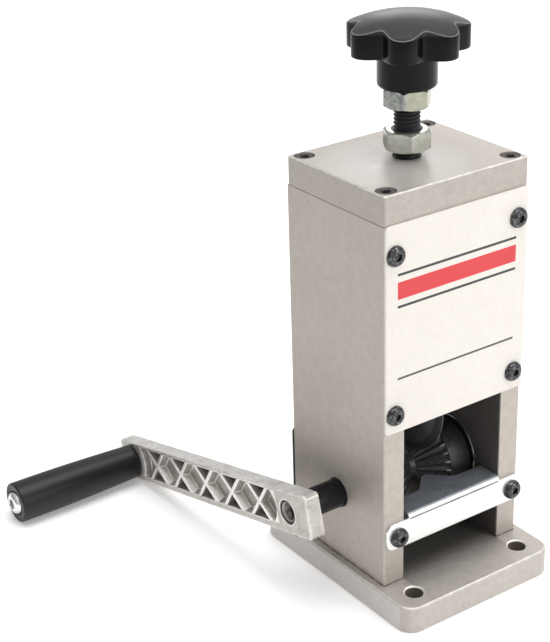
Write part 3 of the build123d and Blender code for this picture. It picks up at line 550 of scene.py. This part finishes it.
def make_knob():
    """Glossy moulded plastic with faint ripple; a painted sheen on the dome and a painted highlight along the rim line.
    """
    m = Mat("moulded_knob")
    a = m.noise(45, 2.0, 0.5)
    b = m.noise(900, 2.0, 0.5)
    c = m.ramp(b, [(0.3, (0.0015, 0.0013, 0.0014)), (0.7, (0.0040, 0.0036, 0.0038))])
    xs = m.xyz()
    dome = m.rng(xs[2], 0.2612, 0.2622, 0.0, 1.0)
    # Painted sheen: the dome is lightened, more towards the back.
    back = m.math("ADD", m.math("MULTIPLY", xs[1], 0.82), m.math("MULTIPLY", xs[0], 0.57))
    dome_sheen = m.mix(m.rng(back, -0.010, 0.027, 0.0, 1.0), (0.030, 0.029, 0.031), (0.190, 0.183, 0.178))
    c = m.mix(dome, c, dome_sheen)
    ang = m.math("SUBTRACT", m.math("ARCTAN2", xs[1], xs[0]), KNOB_PH)
    c1 = m.math("COSINE", m.math("MULTIPLY", ang, float(LOBES)))
    c2 = m.math("SUBTRACT", m.math("COSINE", m.math("MULTIPLY", ang, 2.0 * LOBES)), 1.0)
    wave = m.math("SUBTRACT", c1, m.math("MULTIPLY", c2, 0.12))
    rim = m.math("ADD", m.math("MULTIPLY", wave, (KNOB_R - KNOB_V) / 2 * MM), (KNOB_R + KNOB_V) / 2 * MM)
    rad = m.math("SQRT", m.math("ADD", m.math("MULTIPLY", xs[0], xs[0]), m.math("MULTIPLY", xs[1], xs[1])))
    gap = m.math("SUBTRACT", rim, rad)
    # Painted highlight: a thin pale line just inside the lobed rim, on the top.
    painted_line = m.math("MULTIPLY", m.rng(gap, 0.00010, 0.00030, 0.0, 1.0), m.rng(gap, 0.00045, 0.00095, 1.0, 0.0))
    painted_line = m.math("MULTIPLY", painted_line, m.math("GREATER_THAN", xs[2], 0.2580))
    c = m.mix(m.math("MULTIPLY", painted_line, m.rng(a, 0.3, 0.7, 0.55, 1.0)), c, (0.20, 0.19, 0.19))
    m.set(color=c, metal=0.0, rough=m.math("ADD", m.rng(a, 0.3, 0.7, 0.16, 0.21), m.math("MULTIPLY", dome, 0.14)), spec=0.15)
    m.bump([(a, 0.0002, 0.05), (b, 0.00002, 0.15)])
    return m.m


def make_grip():
    """Charcoal moulded grip, semi-matte, with faint lengthwise flow marks."""
    m = Mat("moulded_grip")
    flow = m.noise(55, 3.0, 0.55, m.coords((0.12, 1, 1)))
    fine = m.noise(1300, 2.0, 0.6)
    c = m.ramp(flow, [(0.3, (0.006, 0.006, 0.008)), (0.7, (0.015, 0.015, 0.018))])
    m.set(color=c, metal=0.0, rough=m.rng(flow, 0.3, 0.7, 0.34, 0.46), spec=0.30)
    m.bump([(fine, 0.00004, 0.4), (flow, 0.0002, 0.12)])
    return m.m


def make_floor():
    m = Mat("pale_floor")
    a = m.noise(3.0, 3.0, 0.5)
    c = m.ramp(a, [(0.3, (0.90, 0.90, 0.90)), (0.7, (0.93, 0.93, 0.93))])
    m.set(color=c, metal=0.0, rough=0.6, spec=0.2)
    m.b.inputs["Emission Color"].default_value = (1, 1, 1, 1)
    m.b.inputs["Emission Strength"].default_value = 0.22
    return m.m


M["cast"] = make_cast()
M["plate"] = make_plate()
M["tray"] = make_tray()
M["roller"] = make_roller()
M["blade"] = make_blade()
M["zinc"] = make_zinc()
M["bright"] = make_bright()
M["knob"] = make_knob()
M["grip"] = make_grip()
M["bush"] = dark_metal("black_bush", (0.012, 0.012, 0.013), rough=0.42, metal=0.0)

CAD_LOOK = {
    "base_plate": "base", "base_screws": "black", "side_plate_left": "side", "side_plate_right": "side", "top_plate": "top",
    "top_plate_screws": "black", "front_plate": "plate", "front_plate_screws": "gun", "feed_tray": "tray",
    "feed_tray_screws": "gun", "rear_guide_plate": "sheet_black", "rear_plate_screws": "gun",
    "bearing_outer_rings": "bearing", "bearing_inner_rings": "bearing", "bearing_shields": "bearing", "bearing_balls": "bearing",
    "shaft_bushes": "bush", "drive_roller": "roller", "crank_arm": "cast", "crank_set_screw": "black", "grip": "grip",
    "grip_bolt": "bright", "blade_carriage": "carriage", "blade_axle": "bearing", "axle_set_screw": "black",
    "blade_spacers": "brass", "cutting_blade": "blade", "screw_retainer_plate": "carriage", "retainer_screws": "black",
    "adjusting_screw": "black", "adjusting_knob": "knob", "knob_insert": "brass", "jam_nut": "zinc", "lock_nut": "zinc",
}
for node, look in CAD_LOOK.items():
    ob = NODES[node]
    ob.data.materials.clear()
    ob.data.materials.append(M[look])


def piece(ob, body, slot, look, *replaced):
    ob.data.materials.append(M[look])
    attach(ob, body)
    if replaced:
        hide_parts(*replaced)
    return ob


# ------------------------------------------------------------------
# Star knob
# ------------------------------------------------------------------
def knob_radius(a):
    c = math.cos(LOBES * (a - KNOB_PH))
    c2 = math.cos(2 * LOBES * (a - KNOB_PH))
    return (KNOB_R + KNOB_V) / 2 + (KNOB_R - KNOB_V) / 2 * (c - 0.12 * (c2 - 1))


def dome_z(r):
    return APEX_Z - (APEX_Z - RIM_TOP) * (r / KNOB_R) ** 2


def build_knob():
    bm = bmesh.new()
    seg = 280
    F, G = 0.9, 0.7
    rows = [("abs", 8.52, KNOB_Z), ("abs", HUB_R - 1.8, KNOB_Z)]
    rows += [("abs", HUB_R - 1.8 + 1.8 * math.sin(t), KNOB_Z + 1.8 - 1.8 * math.cos(t)) for t in [math.radians(15 * k) for k in range(1, 7)]]
    rows += [("abs", HUB_R, RIM_Z - 1.2)]
    rows += [("abs", HUB_R + 1.2 - 1.2 * math.cos(t), RIM_Z - 1.2 + 1.2 * math.sin(t)) for t in [math.radians(22.5 * k) for k in range(1, 5)]]
    rows += [("off", -G - 0.02, RIM_Z)]
    rows += [("off", -G + G * math.sin(t), RIM_Z + G - G * math.cos(t)) for t in [math.radians(22.5 * k) for k in range(1, 5)]]
    rows += [("side", 0.5, 0)]
    rows += [("top", t, F) for t in [math.radians(15 * k) for k in range(0, 7)]]
    rows += [("frac", s, 0) for s in (0.9, 0.8, 0.68, 0.55, 0.42, 0.3, 0.18, 0.08)]
    rings = []
    for kind, p, q in rows:
        ring = []
        for i in range(seg):
            a = 2 * math.pi * i / seg
            R = knob_radius(a)
            if kind == "abs":
                r, z = p, q
            elif kind == "off":
                r, z = R + p, q
            elif kind == "side":
                r, z = R, (RIM_Z + dome_z(R)) / 2
            elif kind == "top":
                zt = dome_z(R - F)
                r, z = R - F + F * math.cos(p), zt - F * 0.92 + F * 0.92 * math.sin(p)
            else:
                r = (R - F) * p
                z = dome_z(r)
            ring.append(bm.verts.new((r * math.cos(a), r * math.sin(a), z)))
        rings.append(ring)
    tip = bm.verts.new((0, 0, APEX_Z))
    for p, q in zip(rings[:-1], rings[1:]):
        for i in range(seg):
            j = (i + 1) % seg
            bm.faces.new((p[i], p[j], q[j], q[i]))
    for i in range(seg):
        bm.faces.new((rings[-1][i], rings[-1][(i + 1) % seg], tip))
    # inside of the bore, closed at the top
    inner = [bm.verts.new((8.52 * math.cos(2 * math.pi * i / seg), 8.52 * math.sin(2 * math.pi * i / seg), KNOB_Z + 20.6)) for i in range(seg)]
    for i in range(seg):
        j = (i + 1) % seg
        bm.faces.new((rings[0][j], rings[0][i], inner[i], inner[j]))
    bm.faces.new(inner)
    ob = finish_mesh(bm, "knob_star", 50)
    return piece(ob, "adjuster", "gloss_black", "knob", "adjusting_knob")


build_knob()


# ------------------------------------------------------------------
# Adjusting screw with a real thread
# ------------------------------------------------------------------
def build_thread():
    bm = bmesh.new()
    P, RMAJ, RMIN = 1.75, 5.93, 5.02
    z0, z1 = 171.6, 255.0
    seg = 48
    dz = P / 10
    n = int(round((z1 - z0) / dz))

    def rad(z, a):
        ph = ((z / P) - a / (2 * math.pi)) % 1.0
        t = abs(ph - 0.5) * 2
        x = min(1.0, max(0.0, (t - 0.12) / 0.66))
        r = RMAJ - (RMAJ - RMIN) * x
        end = min(z - z0, z1 - z) / 1.2
        if end < 1.0:
            r = min(r, RMIN + (RMAJ - RMIN) * max(0.0, end))
        return r

    rings = []
    for k in range(n + 1):
        z = z0 + (z1 - z0) * k / n
        rings.append([bm.verts.new((rad(z, 2 * math.pi * i / seg) * math.cos(2 * math.pi * i / seg),
                                    rad(z, 2 * math.pi * i / seg) * math.sin(2 * math.pi * i / seg), z)) for i in range(seg)])
    for p, q in zip(rings[:-1], rings[1:]):
        for i in range(seg):
            j = (i + 1) % seg
            bm.faces.new((p[i], p[j], q[j], q[i]))
    bm.faces.new(rings[-1])
    low = []
    for r, z in ((4.5, z0), (4.5, 165.85), (7.1, 165.85), (7.5, 165.45), (7.5, 160.5), (7.1, 160.1)):
        low.append([bm.verts.new((r * math.cos(2 * math.pi * i / seg), r * math.sin(2 * math.pi * i / seg), z)) for i in range(seg)])
    chain = [rings[0]] + low
    for p, q in zip(chain[:-1], chain[1:]):
        for i in range(seg):
            j = (i + 1) % seg
            bm.faces.new((p[j], p[i], q[i], q[j]))
    bm.faces.new(low[-1][::-1])
    ob = finish_mesh(bm, "screw_thread", 40)
    return piece(ob, "adjuster", "black_steel", "black", "adjusting_screw")


build_thread()


# ------------------------------------------------------------------
# Hexagon nuts, with turned chamfers
# ------------------------------------------------------------------
def build_nut(name, z0, ph, body, node):
    bm = bmesh.new()
    AF, H, BORE = 19.0, 8.9, 6.02
    rc = AF / 2 * 0.965
    seg = 144
    off = ph

    def drop(r):
        return max(0.0, (r - rc)) * math.tan(math.radians(32))

    rows = []
    angs = [off + 2 * math.pi * i / seg for i in range(seg)]
    rows.append([(BORE, 1.0) for a in angs])
    rows.append([(BORE + 0.95, 0.0) for a in angs])
    rows.append([(rc, 0.0) for a in angs])
    rows.append([(hex_r(a, AF, ph), drop(hex_r(a, AF, ph))) for a in angs])
    rows.append([(hex_r(a, AF, ph), H - drop(hex_r(a, AF, ph))) for a in angs])
    rows.append([(rc, H) for a in angs])
    rows.append([(BORE + 0.95, H) for a in angs])
    rows.append([(BORE, H - 1.0) for a in angs])
    rings = [[bm.verts.new((r * math.cos(a), r * math.sin(a), z0 + z)) for (r, z), a in zip(row, angs)] for row in rows]
    for k in range(len(rings)):
        p, q = rings[k], rings[(k + 1) % len(rings)]
        for i in range(seg):
            j = (i + 1) % seg
            bm.faces.new((p[i], p[j], q[j], q[i]))
    ob = finish_mesh(bm, name, 18)
    return piece(ob, body, "zinc_steel", "zinc", node)


build_nut("nut_under_knob", 226.0, CAM_AZ + math.radians(-8.0), "adjuster", "jam_nut")
build_nut("nut_on_top_plate", 207.0, CAM_AZ + math.radians(11.5), "locking_nut", "lock_nut")


# ------------------------------------------------------------------
# Grip and its bolt
# ------------------------------------------------------------------
def build_grip():
    bm = bmesh.new()
    L = 69.3
    prof = []
    prof += [(4.06, 0.0), (8.2, 0.0)]
    prof += arc_pts(8.2, 0.65, 0.65, -90, 0, 5)[1:]
    n = 26
    for i in range(1, n + 1):
        t = i / n
        z = 0.65 + (L - 0.9 - 0.65) * t
        r = 8.85 + 1.55 * math.sin(min(1.0, t / 0.92) * math.pi / 2)
        prof.append((r, z))
    rl = prof[-1][0]
    prof += arc_pts(rl - 0.9, L - 0.9, 0.9, 0, 90, 6)[1:]
    prof += [(6.8, L), (6.4, L - 0.4), (6.4, L - 2.3), (4.06, L - 2.3)]
    place = Matrix.Translation((ARM_XO - 0.4, GRIP_Y, GRIP_Z)) @ AXIS_NX
    lathe(bm, prof, 128, place, closed=True)
    ob = finish_mesh(bm, "grip_sleeve", 50)
    return piece(ob, "handle", "grip_plastic", "grip", "grip")


build_grip()


def socket_head(bm, place, shank, length, head_r, head_h, af, rim=0.35, seg=96, dome=True, depth=None, cyl_top=0.35):
    """Screw with a domed or cylindrical head and a hexagon socket; head underside at local z = 0."""
    depth = depth or head_h * 0.62
    a6 = math.radians(60)
    prof = [(0, -length), (shank - 0.4, -length), (shank, -length + 0.4), (shank, 0.0), (head_r - 0.12, 0.0), (head_r, 0.12)]
    flat = head_r * 0.50
    if dome:
        prof.append((head_r, rim))
        for i in range(1, 9):
            t = math.radians(90 * i / 8)
            prof.append((flat + (head_r - flat) * math.cos(t), rim + (head_h - rim) * math.sin(t)))
    else:
        prof += [(head_r, head_h - cyl_top), (head_r - cyl_top, head_h)]
    n0 = len(prof)
    prof += [(af * 0.62, head_h), (af * 0.5, head_h - 0.2), (af * 0.5, head_h - depth), (0, head_h - depth - 0.25 * af)]

    def rfun(k, a, r):
        if k in (n0 + 1, n0 + 2):
            return hex_r(a, af)
        return r

    lathe(bm, prof, seg, place, rfun=rfun)


def build_bolt():
    bm = bmesh.new()
    seat = -69.4 - 69.3 + 2.3 - 0.15
    place = Matrix.Translation((seat, GRIP_Y, GRIP_Z)) @ AXIS_NX
    socket_head(bm, place, 4.0, abs(seat) - 69.0, 6.0, 4.3, 5.0, rim=1.1, depth=2.9)
    bm2 = Matrix.Translation((0, GRIP_Y, GRIP_Z)) @ AXIS_X
    lathe(bm, [(0, -69.05), (3.0, -69.05), (3.0, -62.0), (2.6, -61.6), (0, -61.6)], 64, bm2)
    ob = finish_mesh(bm, "grip_shoulder_bolt", 30)
    return piece(ob, "crank", "zinc_steel", "bright", "grip_bolt")


build_bolt()


# ------------------------------------------------------------------
# Button head screws of the front plate, tray and rear plate
# ------------------------------------------------------------------
def build_buttons(name, places, slot, look, node, spin=0.0):
    bm = bmesh.new()
    for k, pl in enumerate(places):
        turn = Matrix.Rotation(math.radians(17 + 23 * k + spin), 4, "Z")
        socket_head(bm, pl @ turn, 2.5, 9.0, 4.65, 2.75, 3.0)
    ob = finish_mesh(bm, name, 30)
    return piece(ob, "housing", slot, look, node)


build_buttons("front_buttons", [Matrix.Translation((sx * 34.5 - 0.5, -35.2, z)) @ AXIS_NY for sx in (-1, 1) for z in (101.3, 176.6)],
              "black_steel", "gun", "front_plate_screws")
build_buttons("tray_buttons", [Matrix.Translation((sx * 34.3 + 2.0, -35.4, 37.8)) @ AXIS_NY for sx in (-1, 1)],
              "black_steel", "gun", "feed_tray_screws", 9)
build_buttons("rear_buttons", [Matrix.Translation((sx * 34.5, 35.7, z)) @ AXIS_PY for sx in (-1, 1) for z in (39.0, 59.5)],
              "black_steel", "gun", "rear_plate_screws", 5)


def build_top_screws():
    bm = bmesh.new()
    for k, (x, y) in enumerate([(sx * 34.5, sy * 28.4) for sx in (-1, 1) for sy in (-1, 1)]):
        pl = Matrix.Translation((x, y, Z2 - 5.3)) @ Matrix.Rotation(math.radians(12 + 31 * k), 4, "Z")
        socket_head(bm, pl, 2.5, 14.0, 4.25, 5.0, 4.0, dome=False, depth=2.6, cyl_top=0.25)
    ob = finish_mesh(bm, "top_cap_screws", 30)
    return piece(ob, "housing", "black_steel", "cap", "top_plate_screws")


build_top_screws()


# ------------------------------------------------------------------
# Disc blade, finely divided
# ------------------------------------------------------------------
def build_blade():
    bm = bmesh.new()
    prof = [(5.06, -1.25), (10, -1.25), (16, -1.25), (22.8, -1.25), (23.2, -1.2), (27.0, -0.12), (27.0, 0.12), (23.2, 1.2),
            (22.8, 1.25), (16, 1.25), (10, 1.25), (5.06, 1.25)]
    place = Matrix.Translation((0, 0, 85.9)) @ AXIS_X
    lathe(bm, prof, 180, place, closed=True)
    ob = finish_mesh(bm, "blade_disc", 20)
    return piece(ob, "blade", "blade_steel", "blade", "cutting_blade")


build_blade()

# ------------------------------------------------------------------
# Floor, light, camera
# ------------------------------------------------------------------
bm = bmesh.new()
S = 6000.0
vs = [bm.verts.new(p) for p in ((-S, -S, 0), (S, -S, 0), (S, S, 0), (-S, S, 0))]
bm.faces.new(vs)
floor = finish_mesh(bm, "floor")
floor.data.materials.append(make_floor())

world = bpy.data.worlds.new("studio")
bpy.context.scene.world = world
world.use_nodes = True
wn, wl = world.node_tree.nodes, world.node_tree.links
wn.clear()
wo = wn.new("ShaderNodeOutputWorld")
bg = wn.new("ShaderNodeBackground")
wtc = wn.new("ShaderNodeTexCoord")
wsep = wn.new("ShaderNodeSeparateXYZ")
wr = wn.new("ShaderNodeValToRGB")
wl.new(wtc.outputs["Generated"], wsep.inputs[0])
wl.new(wsep.outputs[2], wr.inputs[0])
stops = [(0.0, 0.62), (0.35, 0.80), (0.75, 1.0)]
while len(wr.color_ramp.elements) < len(stops):
    wr.color_ramp.elements.new(0.5)
for e, (p, v) in zip(wr.color_ramp.elements, stops):
    e.position = p
    e.color = (v, v, v, 1)
wd = wn.new("ShaderNodeVectorMath")
wd.operation = "DOT_PRODUCT"
wd.inputs[1].default_value = (-0.816, 0.577, 0.0)
wl.new(wtc.outputs["Generated"], wd.inputs[0])
wm = wn.new("ShaderNodeMapRange")
wm.inputs["From Min"].default_value = 0.05
wm.inputs["From Max"].default_value = 0.90
wm.inputs["To Min"].default_value = 1.0
wm.inputs["To Max"].default_value = 0.60
wl.new(wd.outputs["Value"], wm.inputs["Value"])
wx = wn.new("ShaderNodeVectorMath")
wx.operation = "SCALE"
wl.new(wr.outputs[0], wx.inputs[0])
wl.new(wm.outputs[0], wx.inputs["Scale"])
wl.new(wx.outputs[0], bg.inputs["Color"])
bg.inputs["Strength"].default_value = 0.82
wl.new(bg.outputs[0], wo.inputs[0])


def area(name, loc, target, size, power, size_y=None):
    li = bpy.data.lights.new(name, "AREA")
    li.shape = "RECTANGLE"
    li.size = size
    li.size_y = size_y or size
    li.energy = power
    ob = bpy.data.objects.new(name, li)
    ob.location = loc
    d = Vector(target) - Vector(loc)
    ob.rotation_euler = d.to_track_quat("-Z", "Y").to_euler()
    bpy.context.scene.collection.objects.link(ob)
    return ob


area("key_top", (0.12, -0.05, 1.25), (0, 0, 0.1), 0.95, 11.0)
area("front_right", (0.55, -1.15, 0.55), (0, 0, 0.10), 0.5, 5.2)
area("back_high", (0.72, 0.88, 0.60), (0, 0, 0.203), 0.35, 0.9)

cam = bpy.data.cameras.new("view")
cam.sensor_width = 36.0
cam.lens = 1619.6 * 36.0 / 642.0
cam.shift_x = 0.0007
cam.clip_start, cam.clip_end = 0.01, 50.0
co = bpy.data.objects.new("view", cam)
R = Vector((0.8162675, -0.5769610, -0.0286955))
U = Vector((0.2661418, 0.3315123, 0.9051343))
B = -Vector((0.5127143, 0.7464688, -0.4241562))
mw = Matrix.Identity(4)
for i in range(3):
    mw[i][0], mw[i][1], mw[i][2] = R[i], U[i], B[i]
mw.translation = Vector((-0.428194, -0.517663, 0.439124))
co.matrix_world = mw
bpy.context.scene.collection.objects.link(co)
bpy.context.scene.camera = co

sc = bpy.context.scene
sc.view_settings.view_transform = "Standard"
sc.view_settings.look = "None"
sc.view_settings.exposure = 0.0

bpy.context.view_layer.update()
